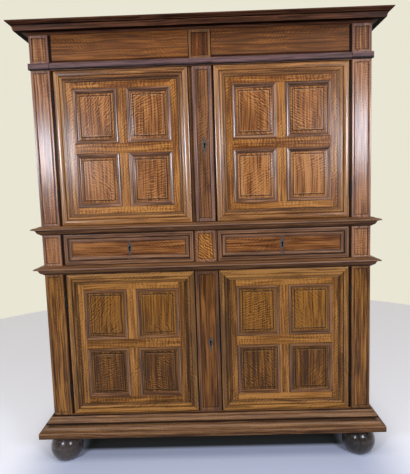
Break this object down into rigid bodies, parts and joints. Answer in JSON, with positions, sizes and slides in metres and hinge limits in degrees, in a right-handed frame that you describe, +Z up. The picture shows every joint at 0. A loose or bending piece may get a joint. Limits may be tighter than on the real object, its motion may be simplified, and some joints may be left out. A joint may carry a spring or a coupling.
{
  "type": "court cupboard",
  "caption": "Tall wooden court cupboard on bun feet with fielded panel doors above and below a belt of drawers, under a deep cornice.",
  "frame": {"origin": "on the floor under the middle of the cupboard's outline, cornice included", "axes": "+Z up, doors and drawers face -Y, +X to the right of a person in front"},
  "size_m": [1.752, 0.636, 2.156],
  "materials": {
    "frame_walnut": "waxed, bright orange brown",
    "panel_walnut": "waxed, mid brown with a rippled figure",
    "moulding_walnut": "waxed, dark purple brown with a grey sheen",
    "case_walnut": "waxed, mid brown",
    "cornice_walnut": "waxed, dark reddish brown",
    "plinth_walnut": "waxed, streaky brown",
    "turned_dark": "polished, very dark brown",
    "inside_oak": "bare, unfinished",
    "black_iron": "forged, blackened",
    "plate_steel": "filed, dulled"
  },
  "bodies": {
    "root": {"base_moulding": "plinth_walnut", "cornice_moulding": "cornice_walnut", "cornice_top_board": "cornice_walnut", "drawer_runners": "inside_oak", "foot_front_left": "turned_dark", "foot_front_right": "turned_dark", "foot_rear_left": "turned_dark", "foot_rear_right": "turned_dark", "hinge_pintles": "black_iron", "lower_back": "inside_oak", "lower_floor": "inside_oak", "lower_front_rails": "case_walnut", "lower_left_side": "case_walnut", "lower_pilasters": "case_walnut", "lower_posts": "case_walnut", "lower_right_side": "case_walnut", "plinth_frame": "inside_oak", "plinth_moulding": "plinth_walnut", "shelves": "inside_oak", "string_moulding": "cornice_walnut", "upper_back": "inside_oak", "upper_floor": "inside_oak", "upper_front_rails": "case_walnut", "upper_left_side": "case_walnut", "upper_pilasters": "case_walnut", "upper_posts": "case_walnut", "upper_right_side": "case_walnut", "waist_mouldings": "plinth_walnut"},
    "left_drawer": {"left_drawer_box": "inside_oak", "left_drawer_front": "case_walnut", "left_drawer_lock": "plate_steel"},
    "left_drawer_lock_bolt": {"left_drawer_lock_bolt": "plate_steel"},
    "lower_left_door": {"lower_left_door_frame": "frame_walnut", "lower_left_door_ironwork": "black_iron", "lower_left_door_lock": "plate_steel", "lower_left_door_mouldings": "moulding_walnut", "lower_left_door_panels": "panel_walnut", "lower_left_door_strip": "case_walnut"},
    "lower_left_door_lock_bolt": {"lower_left_door_lock_bolt": "plate_steel"},
    "lower_right_door": {"lower_right_door_frame": "frame_walnut", "lower_right_door_ironwork": "black_iron", "lower_right_door_mouldings": "moulding_walnut", "lower_right_door_panels": "panel_walnut"},
    "lower_right_door_slip_bolt": {"lower_right_door_slip_bolt": "black_iron"},
    "right_drawer": {"right_drawer_box": "inside_oak", "right_drawer_front": "case_walnut", "right_drawer_lock": "plate_steel"},
    "right_drawer_lock_bolt": {"right_drawer_lock_bolt": "plate_steel"},
    "upper_left_door": {"upper_left_door_frame": "frame_walnut", "upper_left_door_ironwork": "black_iron", "upper_left_door_lock": "plate_steel", "upper_left_door_mouldings": "moulding_walnut", "upper_left_door_panels": "panel_walnut", "upper_left_door_strip": "case_walnut"},
    "upper_left_door_lock_bolt": {"upper_left_door_lock_bolt": "plate_steel"},
    "upper_right_door": {"upper_right_door_frame": "frame_walnut", "upper_right_door_ironwork": "black_iron", "upper_right_door_mouldings": "moulding_walnut", "upper_right_door_panels": "panel_walnut"},
    "upper_right_door_slip_bolt": {"upper_right_door_slip_bolt": "black_iron"}
  },
  "joints": [
    {"name": "lower_left_door_hinge", "type": "hinge", "parent": "root", "child": "lower_left_door", "pos_m": [-0.703, -0.239, 0.61], "axis": [0, 0, -1], "range_deg": [0, 110]},
    {"name": "lower_right_door_hinge", "type": "hinge", "parent": "root", "child": "lower_right_door", "pos_m": [0.703, -0.239, 0.61], "axis": [0, 0, 1], "range_deg": [0, 110]},
    {"name": "lower_lock_throw", "type": "slide", "parent": "lower_left_door", "child": "lower_left_door_lock_bolt", "axis": [1, 0, 0], "range_m": [0, 0.02]},
    {"name": "lower_slip_bolt_throw", "type": "slide", "parent": "lower_right_door", "child": "lower_right_door_slip_bolt", "axis": [0, 0, 1], "range_m": [0, 0.02]},
    {"name": "upper_left_door_hinge", "type": "hinge", "parent": "root", "child": "upper_left_door", "pos_m": [-0.703, -0.239, 1.58], "axis": [0, 0, -1], "range_deg": [0, 110]},
    {"name": "upper_right_door_hinge", "type": "hinge", "parent": "root", "child": "upper_right_door", "pos_m": [0.703, -0.239, 1.58], "axis": [0, 0, 1], "range_deg": [0, 110]},
    {"name": "upper_lock_throw", "type": "slide", "parent": "upper_left_door", "child": "upper_left_door_lock_bolt", "axis": [1, 0, 0], "range_m": [0, 0.02]},
    {"name": "upper_slip_bolt_throw", "type": "slide", "parent": "upper_right_door", "child": "upper_right_door_slip_bolt", "axis": [0, 0, 1], "range_m": [0, 0.02]},
    {"name": "left_drawer_slide", "type": "slide", "parent": "root", "child": "left_drawer", "axis": [0, -1, 0], "range_m": [0, 0.35]},
    {"name": "left_drawer_lock_throw", "type": "slide", "parent": "left_drawer", "child": "left_drawer_lock_bolt", "axis": [0, 0, 1], "range_m": [0, 0.014]},
    {"name": "right_drawer_slide", "type": "slide", "parent": "root", "child": "right_drawer", "axis": [0, -1, 0], "range_m": [0, 0.35]},
    {"name": "right_drawer_lock_throw", "type": "slide", "parent": "right_drawer", "child": "right_drawer_lock_bolt", "axis": [0, 0, 1], "range_m": [0, 0.014]}
  ]
}
